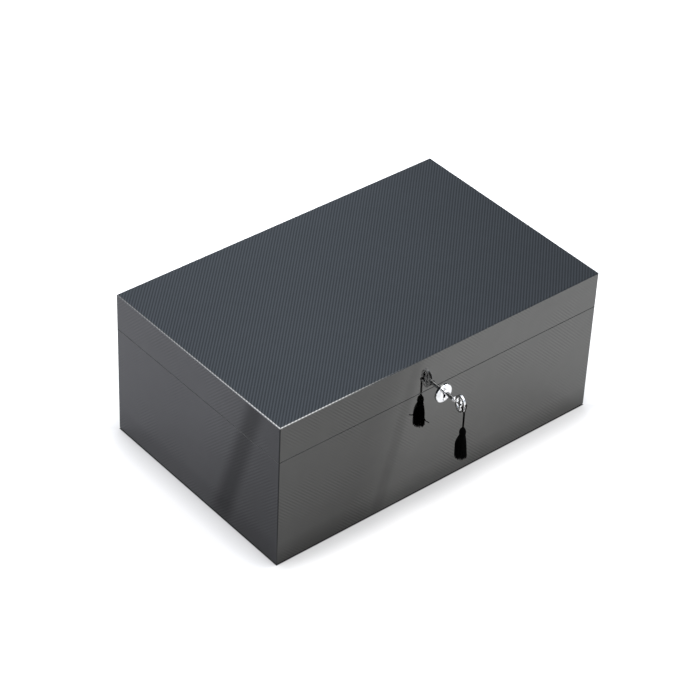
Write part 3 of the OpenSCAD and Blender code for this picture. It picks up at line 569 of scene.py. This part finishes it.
CLOTH_FRAMES = 20
PRESSURE = 4.0
RING_POINTS = 96            # places round an end seam: the piping meets all, stitches every other
SEAM_INSET = 3.2 * MM       # from a cushion's end in to its seam
PIPE_RADIUS = 0.75 * MM
PIPE_RISE = 0.25 * MM       # of the piping's middle above the skin
STITCH_OFFSET = 2.0 * MM    # from the seam to the stitches on each side of it
STITCH_SPAN = 1.4           # of a stitch and its ends, in places of the ring
RAY_START = 10 * MM         # from a place of the ring out to where the skin is looked for


def stuffed(node, place, start, cap, voxel):
    """The node's soft solid, shrunk to start and blown up as cloth: points in its axes, and faces."""
    mesh = nodes[node].data.copy()
    mesh.transform(place.inverted())
    mesh.transform(Matrix.Diagonal((start, start, start, 1)))
    form = bpy.data.objects.new(node + "_form", mesh)
    bpy.context.scene.collection.objects.link(form)
    bpy.context.view_layer.objects.active = form
    remesh = form.modifiers.new("remesh", "REMESH")
    remesh.mode = "VOXEL"
    remesh.voxel_size = voxel
    bpy.ops.object.modifier_apply(modifier="remesh")
    rest = [v.co.copy() for v in form.data.vertices]
    cloth = form.modifiers.new("cloth", "CLOTH")
    cloth.settings.use_pressure = True
    cloth.settings.uniform_pressure_force = PRESSURE
    cloth.settings.effector_weights.gravity = 0.0
    cloth.settings.quality = 6
    for frame_number in range(1, CLOTH_FRAMES + 1):
        bpy.context.scene.frame_set(frame_number)
    bpy.ops.object.modifier_apply(modifier="cloth")
    bpy.context.scene.frame_set(1)
    for vertex, before in zip(form.data.vertices, rest):
        moved = vertex.co - before
        if moved.length > cap:
            vertex.co = before + moved.normalized() * cap
    finer = form.modifiers.new("finer", "SUBSURF")
    finer.levels = 1
    bpy.ops.object.modifier_apply(modifier="finer")
    points = [v.co.copy() for v in form.data.vertices]
    faces = [tuple(f.vertices) for f in form.data.polygons]
    bpy.data.objects.remove(form)
    bpy.data.meshes.remove(mesh)
    return points, faces


def capsule_ring(half, height, x, count):
    """Points about local X on the cushion's outline: its rounded section, half long and height high."""
    radius = height / 2
    straight = half - radius
    round_part = math.pi * radius
    total = 4 * straight + 2 * round_part
    ring = []
    for k in range(count):
        run = total * k / count
        if run < 2 * straight:
            ring.append(Vector((x, run - straight, -radius)))
            continue
        run -= 2 * straight
        if run < round_part:
            a = run / radius - math.pi / 2
            ring.append(Vector((x, straight + radius * math.cos(a), radius * math.sin(a))))
            continue
        run -= round_part
        if run < 2 * straight:
            ring.append(Vector((x, straight - run, radius)))
            continue
        run -= 2 * straight
        a = run / radius + math.pi / 2
        ring.append(Vector((x, -straight + radius * math.cos(a), radius * math.sin(a))))
    return ring


def held_in(point, limits):
    """The point, moved into the box that reaches its limits from the origin both ways."""
    return Vector([max(-limit, min(limit, part)) for part, limit in zip(point, limits)])


def skin_at(surface, target, flat_half):
    """Where the skin lies by the target, or None, and the direction out of the cushion there."""
    centre = Vector((target.x, max(-flat_half, min(flat_half, target.y)), 0))
    out = (target - centre).normalized()
    return surface.ray_cast(target + out * RAY_START, -out)[0], out


def stitch(surface, ring, start, shift, flat_half):
    """The three points of a stitch at a place of the ring, shifted along X, its ends in the skin."""
    line = []
    for along, rise in ((0.15, -0.05), (0.5, 0.12), (0.85, -0.05)):
        spot = start + along * STITCH_SPAN
        first = int(spot)
        one, other = ring[first % RING_POINTS], ring[(first + 1) % RING_POINTS]
        target = one.lerp(other, spot - first) + Vector((shift, 0, 0))
        hit, out = skin_at(surface, target, flat_half)
        if hit is not None:
            line.append(hit + out * rise * MM)
    return line


def gathered(p, seam_x, seed):
    """The point p of a stuffed form, drawn in at the end seams, pleated there and wrinkled."""
    wrinkle = noise.noise(p * 95 + Vector((seed * 3.1, 0, 0))) * 0.5 * MM
    away = min(abs(abs(p.x) - seam_x) / (2.2 * MM), 3.0)
    pull = math.exp(-away * away) * 1.1 * MM
    pleat = math.exp(-away) * 0.35 * MM * math.sin(math.atan2(p.z, p.y) * 26 + seed)
    return p - Vector((0, p.y, p.z)).normalized() * (pull + pleat - wrinkle)


def cushion(name, node, body, place, size, form, seed):
    """A stuffed cushion: crowned, drawn in along its two end seams, with piping and stitches."""
    half = [s / 2 for s in size]
    seam_x = half[0] - SEAM_INSET
    flat_half = half[1] - half[2]
    pipe_limits = [h - PIPE_RADIUS for h in half]
    form_points, faces = form
    points = [held_in(gathered(p, seam_x, seed), half) for p in form_points]
    surface = BVHTree.FromPolygons(points, faces)
    parts, stitches = [(points, faces)], []
    for side in (-1, 1):
        ring = capsule_ring(half[1], size[2], side * seam_x, RING_POINTS)
        pipe = []
        for target in ring:
            hit, out = skin_at(surface, target, flat_half)
            skin = target if hit is None else hit
            pipe.append(held_in(skin + out * PIPE_RISE, pipe_limits))
        parts.append(closed_tube(pipe, PIPE_RADIUS, 8))
        for inner in (-1, 1):
            for start in range(0, RING_POINTS, 2):
                line = stitch(surface, ring, start, inner * side * STITCH_OFFSET, flat_half)
                if len(line) == 3:
                    stitches.append(sweep(line, 0.24 * MM, 5))
    plain = sum(len(part_faces) for _, part_faces in parts)
    points, faces = merge(parts + stitches)
    made = add_mesh(name, [place @ held_in(p, half) for p in points], faces, leather_finish)
    sew(made, plain)
    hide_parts(node)
    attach(made, body)


def sew(piece, plain):
    """Give the faces from number plain on, which are stitches, the sewing thread's finish."""
    piece.data.materials.append(stitch_finish)
    for polygon in piece.data.polygons[plain:]:
        polygon.material_index = 1


def closed_tube(path, radius, sides):
    """Points and faces of a ring of tube along a closed path."""
    points, faces = [], []
    count = len(path)
    side = None
    for i, p in enumerate(path):
        ahead = (path[(i + 1) % count] - path[i - 1]).normalized()
        side = Vector((1, 0, 0)) - ahead * ahead.x
        side.normalize()
        other = ahead.cross(side)
        for k in range(sides):
            a = math.tau * k / sides
            points.append(p + side * (radius * math.cos(a)) + other * (radius * math.sin(a)))
        base, following = i * sides, (i + 1) % count * sides
        for k in range(sides):
            n = (k + 1) % sides
            faces.append((base + k, base + n, following + n, following + k))
    return points, faces


def middle_of(node):
    low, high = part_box(node)
    return (Vector(low) + Vector(high)) / 2


def size_of(node):
    low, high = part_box(node)
    return [h - l for l, h in zip(low, high)]


SHRUNK = 0.90           # size at which a cushion's form starts
LARGEST_MOVE = 5 * MM   # of a point in the cloth step

storage_form = stuffed(
    "storage_pillow_1", Matrix.Translation(middle_of("storage_pillow_1")),
    SHRUNK, LARGEST_MOVE, 3.2 * MM,
)
for i in range(1, 6):
    node = f"storage_pillow_{i}"
    cushion(
        f"storage_cushion_{i}", node, "root", Matrix.Translation(middle_of(node)),
        size_of("storage_pillow_1"), storage_form, i,
    )

WINDER_PILLOW = [58 * MM, 50 * MM, 36 * MM]
TILT = Matrix.Rotation(math.radians(45), 4, "X")
winder_form = stuffed(
    "winder_pillow_left", Matrix.Translation(middle_of("winder_pillow_left")) @ TILT,
    SHRUNK, LARGEST_MOVE, 3 * MM,
)
for seed, side in ((11, "left"), (12, "right")):
    node = f"winder_pillow_{side}"
    cushion(
        f"winder_cushion_{side}", node, f"cup_{side}", Matrix.Translation(middle_of(node)) @ TILT,
        WINDER_PILLOW, winder_form, seed,
    )


PANEL_GRID = (132, 84)      # squares of the lid's panel along X and Y
PANEL_BORDER = 13 * MM      # from the panel's edge in to its stitched channel
PANEL_STITCH = 3.6 * MM     # from one stitch to the next


def spread(half, k, count):
    """Place k of count from -half to half, the places closer together towards the ends."""
    return (
        half * math.sin((k / count - 0.5) * math.pi * 0.999) * 0.35
        + half * (2 * k / count - 1) * 0.65
    )


def panel_fullness(x, y, half):
    """How much of the panel's thickness is filled at x and y from its middle."""
    inset = max(0.0, min(half.x - abs(x), half.y - abs(y)))
    roll = min(1.0, inset / (3.0 * MM))
    full = 0.35 + 0.47 * math.sqrt(1 - (1 - roll) ** 2)
    crown = 0.18 * (1 - (x / half.x) ** 2) * (1 - (y / half.y) ** 2)
    channel = 0.3 * math.exp(-((inset - PANEL_BORDER) / (1.3 * MM)) ** 2)
    wave = 0.03 * noise.noise(Vector((x * 40, y * 40, 3.7)))
    return min(1.0, max(0.05, full + crown - channel + wave))


def lid_panel():
    """The padded panel in the lid, rolled at its edges: points, faces and how many aren't stitches."""
    low, high = (Vector(corner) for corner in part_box("lid_pad"))
    middle = (low + high) / 2
    half = (high - low) / 2
    thick = 2 * half.z
    across, along = PANEL_GRID
    points, faces = [], []
    for flat in (False, True):
        for j in range(along + 1):
            for i in range(across + 1):
                x = spread(half.x, i, across)
                y = spread(half.y, j, along)
                z = high.z
                if not flat:
                    z -= thick * panel_fullness(x, y, half)
                points.append(Vector((middle.x + x, middle.y + y, z)))
    row = across + 1
    sheet = row * (along + 1)
    for j in range(along):
        for i in range(across):
            a = j * row + i
            faces.append((a, a + row, a + row + 1, a + 1))
            faces.append((sheet + a, sheet + a + 1, sheet + a + row + 1, sheet + a + row))
    for i in range(across):
        faces.append((i, i + 1, sheet + i + 1, sheet + i))
        a = along * row + i
        faces.append((a + 1, a, sheet + a, sheet + a + 1))
    for j in range(along):
        a = j * row
        faces.append((a + row, a, sheet + a, sheet + a + row))
        a += across
        faces.append((a, a + row, sheet + a + row, sheet + a))
    parts = [(points, faces)]
    reach = half - Vector((PANEL_BORDER, PANEL_BORDER, 0))
    for axis in (0, 1):
        run = 2 * reach[axis]
        count = int(run / PANEL_STITCH)
        for sign in (-1, 1):
            for k in range(count):
                stitch_middle = -reach[axis] + run * (k + 0.5) / count
                line = []
                for shift, lift in ((-1.2, 0.1), (0, 0.35), (1.2, 0.1)):
                    at = Vector((0, 0, 0))
                    at[axis] = stitch_middle + shift * MM
                    at[1 - axis] = sign * reach[1 - axis]
                    at += Vector((middle.x, middle.y, 0))
                    at.z = high.z - thick * 0.55 - lift * MM
                    line.append(at)
                parts.append(sweep(line, 0.22 * MM, 5))
    return merge(parts) + (len(faces),)


panel_points, panel_faces, panel_plain = lid_panel()
panel = add_mesh("lid_padded_panel", panel_points, panel_faces, leather_finish)
sew(panel, panel_plain)
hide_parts("lid_pad")
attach(panel, "lid")


# ---------------------------------------------------------------- stage

CONTACT_REACH = 20 * MM         # of the shading on the floor round the box
CONTACT_FRONT = 7 * MM          # from the front wall out to where it is fully darker than elsewhere
PAPER_DARK = (0.82, 0.80, 0.785, 1)
PAPER_LIGHT = (0.84, 0.82, 0.805, 1)
FLOOR_REACH = 6                 # metres from the middle to each side
FILM_REACH = 0.65
FILM_LIFT = 0.2 * MM            # of the film above the floor


def floor_material():
    """Backdrop paper, with a painted shadow under the box and painted contact shade close round it."""
    s = Surface("floor_paper", Roughness=0.9, Specular_IOR_Level=0.1)
    paper = s.mix(s.noise(6.0, 3.0), PAPER_DARK, PAPER_LIGHT)
    point = s.add("SeparateXYZ", Vector=s.add("TexCoord").outputs["Object"]).outputs
    # how far outside the box's footprint a point is
    out_x = s.math("SUBTRACT", s.math("ABSOLUTE", point[0]), HALF_WIDTH)
    out_y = s.math("SUBTRACT", s.math("ABSOLUTE", point[1]), HALF_DEPTH)
    away = s.math("MAXIMUM", out_x, out_y)
    # painted contact shade: its level at the wall, deeper in front, fading to none over CONTACT_REACH
    at_wall = s.range(point[1], 0.66, 0.77, -HALF_DEPTH - CONTACT_FRONT, -HALF_DEPTH)
    contact = s.math("MAXIMUM", s.math("MINIMUM", s.math("DIVIDE", away, CONTACT_REACH), 1.0), 0.0)
    shade = s.choose(contact, at_wall, 1.0)
    # painted shadow: near black under the box's footprint, seen in the slit under its edges
    under = s.range(away, 0.03, 1.0, -0.4 * MM, 0.4 * MM)
    level = s.math("MULTIPLY", shade, under)
    return s.give(Base_Color=s.mix(level, grey(0.0), paper))


def level_square(name, half, z, material):
    """A level square piece about the origin, reaching half each way."""
    corners = [(-half, -half, z), (half, -half, z), (half, half, z), (-half, half, z)]
    return add_mesh(name, corners, [(0, 1, 2, 3)], material, smooth=False)


floor = level_square("floor", FLOOR_REACH, 0, floor_material())


def softbox(name, place, target, size, power):
    """A rectangular light of a power in watts, facing its target."""
    light = bpy.data.lights.new(name, "AREA")
    light.shape = "RECTANGLE"
    light.size, light.size_y = size
    light.energy = power
    made = bpy.data.objects.new(name, light)
    made.location = place
    made.rotation_euler = (Vector(target) - Vector(place)).to_track_quat("-Z", "Y").to_euler()
    bpy.context.scene.collection.objects.link(made)


softbox("overhead", (-0.1, 0.1, 1.7), (-0.1, 0.1, 0), (1.9, 2.1), 42)
softbox("right_side", (1.7, -0.5, 1.0), (0.2, -0.2, 0), (1.0, 0.8), 26)
softbox("left_side", (-1.8, 0.1, 0.9), (-0.2, 0, 0), (1.2, 0.9), 17)


def painted_reflection_shade():
    """Painted reflection shade: a clear grey film on the floor that only mirrored rays meet, which dims
    what the sides mirror.
    """
    s = Surface("painted_reflection_shade")
    place = s.add("TexCoord").outputs["Object"]
    point = s.add("SeparateXYZ", Vector=place).outputs

    def ramp(value, low, high, from_low, from_high):
        made = s.add("MapRange", {"interpolation_type": "SMOOTHSTEP"}, Value=value)
        for socket, number in zip(made.inputs[1:5], (from_low, from_high, low, high)):
            socket.default_value = number
        return made.outputs[0]

    def banded(value, levels, rise, dark, depth, edges):
        """From the first level to the second over the rise, less a stripe about dark."""
        away = s.math("ABSOLUTE", s.math("SUBTRACT", value, dark))
        return s.math("MULTIPLY", ramp(value, *levels, *rise), ramp(away, 1 - depth, 1.0, *edges))

    # from where a mirrored ray meets the floor: how far along the left side, and along the front, it
    # left the box, counted along lines that lean as the soft bands mirrored there do
    left_lean, front_lean = 0.846, 1.222
    from_left = s.math("ADD", point[0], HALF_WIDTH)
    from_front = s.math("ADD", point[1], HALF_DEPTH)
    # painted reflection shade for the left side and for the front: each rises along its side, less one
    # dark band
    left = banded(
        s.math("MULTIPLY_ADD", from_left, left_lean, point[1]),
        levels=(0.46, 0.61), rise=(-0.08, 0.03), dark=-0.034, depth=0.36, edges=(0.003, 0.018),
    )
    front = banded(
        s.math("MULTIPLY_ADD", from_front, front_lean, point[0]),
        levels=(0.63, 0.91), rise=(-0.11, -0.04), dark=-0.0685, depth=0.12, edges=(0.002, 0.010),
    )
    clear = s.choose(ramp(point[0], 0.0, 1.0, -0.19, -0.16), left, front)
    # only the upright edge between those two sides mirrors the floor in front of that corner, and there
    # it is dimmed to a dark painted reflection
    beyond = s.math("MAXIMUM", from_left, from_front)
    corner_shade = 0.2
    clear = s.choose(ramp(beyond, 0.0, 1.0, -0.02, 0.0), corner_shade, clear)
    from_middle = s.add("VectorMath", {"operation": "LENGTH"}, Vector=place).outputs["Value"]
    clear = s.choose(ramp(from_middle, 0.0, 1.0, 0.42, 0.62), clear, 1.0)
    colour = s.add("CombineColor", Red=clear, Green=clear, Blue=clear).outputs[0]
    shader = s.add("BsdfTransparent", Color=colour)
    s.tree.links.new(shader.outputs[0], s.tree.nodes["Material Output"].inputs["Surface"])
    return s.material


film = level_square("painted_reflection_shade", FILM_REACH, FILM_LIFT, painted_reflection_shade())
for ray in ("camera", "diffuse", "transmission", "volume_scatter", "shadow"):
    setattr(film, "visible_" + ray, False)


REFLECTOR = 5.0                     # brightness of the two reflectors
WALL_COLOUR = (0.88, 1.0, 1.16, 1)
REFLECTOR_COLOUR = (1, 1, 1, 1)


def studio_air():
    """Pale bluish walls, dimmer to the right of the backdrop, and the dark room behind the camera."""
    world = bpy.data.worlds.new("studio")
    bpy.context.scene.world = world
    world.use_nodes = True
    tree = world.node_tree
    background = tree.nodes["Background"]
    direction = tree.nodes.new("ShaderNodeTexCoord").outputs["Generated"]

    def fade(toward, start, end, value_start, value_end):
        """A value that changes as the direction's part along toward goes from start to end."""
        dot = tree.nodes.new("ShaderNodeVectorMath")
        dot.operation = "DOT_PRODUCT"
        tree.links.new(direction, dot.inputs[0])
        dot.inputs[1].default_value = toward
        ranged = tree.nodes.new("ShaderNodeMapRange")
        ranged.interpolation_type = "SMOOTHSTEP"
        tree.links.new(dot.outputs["Value"], ranged.inputs["Value"])
        for socket, value in zip(ranged.inputs[1:5], (start, end, value_start, value_end)):
            socket.default_value = value
        return ranged.outputs[0]

    def reckon(operation, one, other):
        made = tree.nodes.new("ShaderNodeMath")
        made.operation = operation
        tree.links.new(one, made.inputs[0])
        tree.links.new(other, made.inputs[1])
        return made.outputs[0]

    def reflector(toward, axis, start, end, level_end):
        """A bright patch about a direction, fading to level_end along an axis."""
        patch = fade(toward, 0.78, 0.90, 0.0, REFLECTOR)
        return reckon("MULTIPLY", patch, fade(axis, start, end, 1.0, level_end))

    backdrop = fade((1, 0, 0), 0.50, 0.64, 0.82, 0.52)
    behind_camera = fade((-0.52, -0.59, 0.61), 0.62, 0.86, 1.0, 0.12)
    # two reflectors that only polished edges catch: one behind on the left, one in front on the right
    behind_left = reflector((-0.43, 0.59, 0.68), (0, 1, 0), 0.60, 0.67, 0.3)
    front_right = reflector((0.52, -0.41, 0.75), (1, 0, 0), 0.505, 0.535, 0.0)
    mirrored = tree.nodes.new("ShaderNodeLightPath").outputs["Is Glossy Ray"]
    glare = reckon("MULTIPLY", reckon("ADD", behind_left, front_right), mirrored)
    walls = reckon("MULTIPLY", backdrop, behind_camera)
    tree.links.new(reckon("ADD", walls, glare), background.inputs["Strength"])
    tint = tree.nodes.new("ShaderNodeMix")
    tint.data_type = "RGBA"
    tree.links.new(glare, tint.inputs[0])
    tint.inputs[6].default_value = WALL_COLOUR
    tint.inputs[7].default_value = REFLECTOR_COLOUR
    tree.links.new(tint.outputs[2], background.inputs["Color"])


studio_air()


# ---------------------------------------------------------------- end

bpy.context.view_layer.update()
